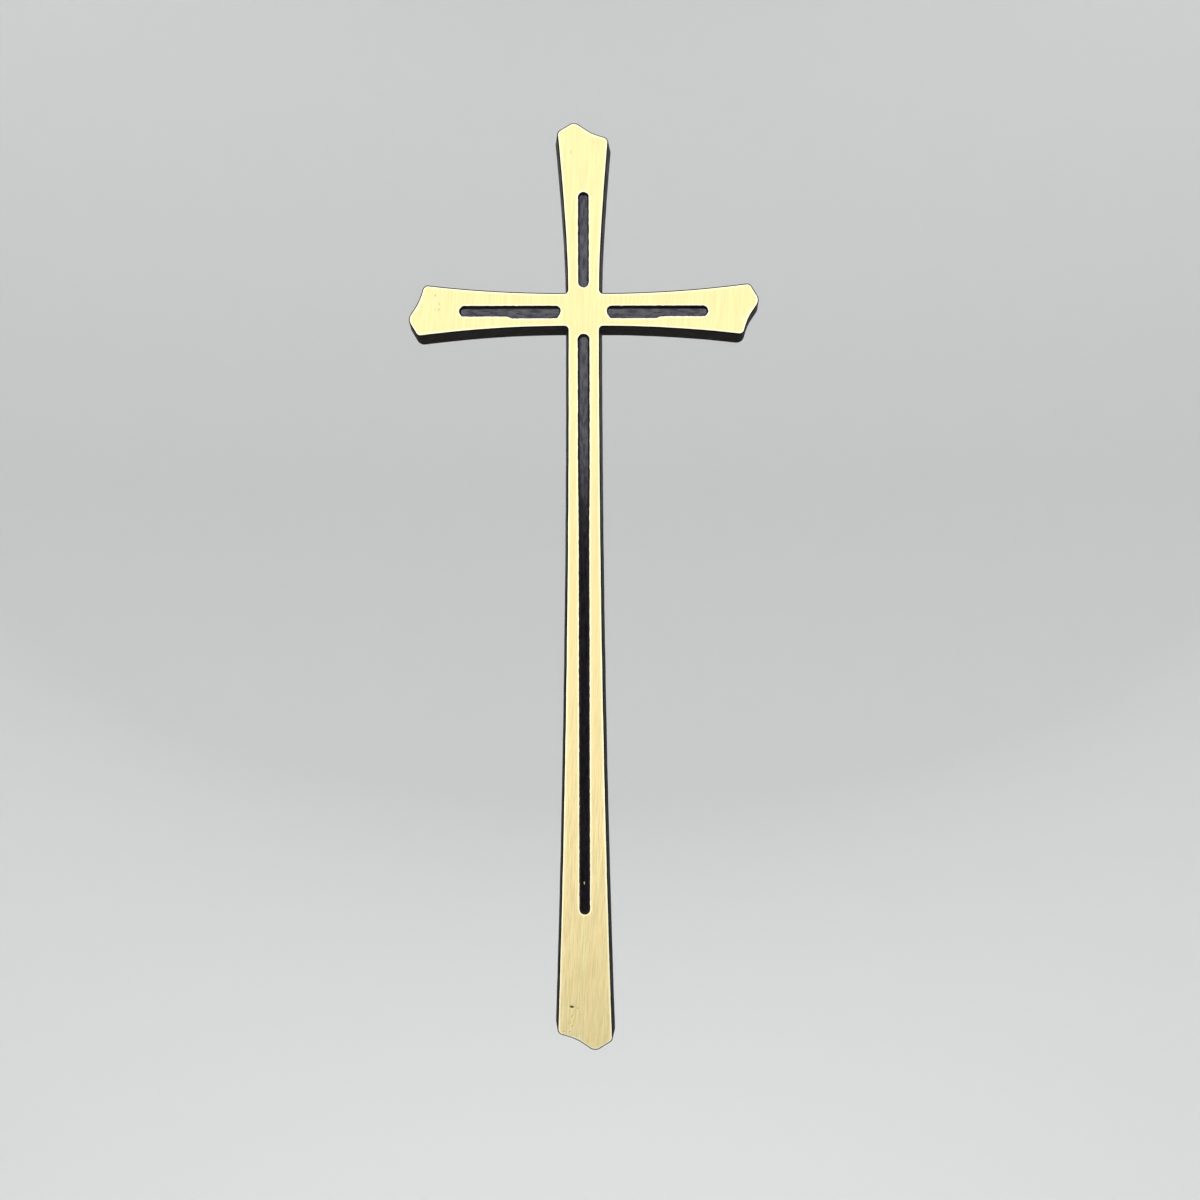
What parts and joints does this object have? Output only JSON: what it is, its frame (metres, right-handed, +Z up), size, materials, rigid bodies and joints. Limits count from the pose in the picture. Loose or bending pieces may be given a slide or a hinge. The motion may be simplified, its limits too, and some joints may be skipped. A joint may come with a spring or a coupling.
{
  "type": "decorative cross",
  "caption": "Slender cast cross with flared arms, slanted pointed ends and a sunk groove along each arm, flat-backed to fix on a stone.",
  "frame": {"origin": "on the flat back, where the middle lines of the shaft and the crossbar meet", "axes": "+Z up along the upper arm, +X to the right as seen from the front, +Y out of the flat back into the stone, front facing -Y"},
  "size_m": [0.1142, 0.009, 0.2997],
  "materials": {
    "bronze": "front face linished along the shaft to a bright satin, side walls, grooves and back left dark brown from the foundry"
  },
  "bodies": {
    "root": {"cross": "bronze"}
  },
  "joints": []
}
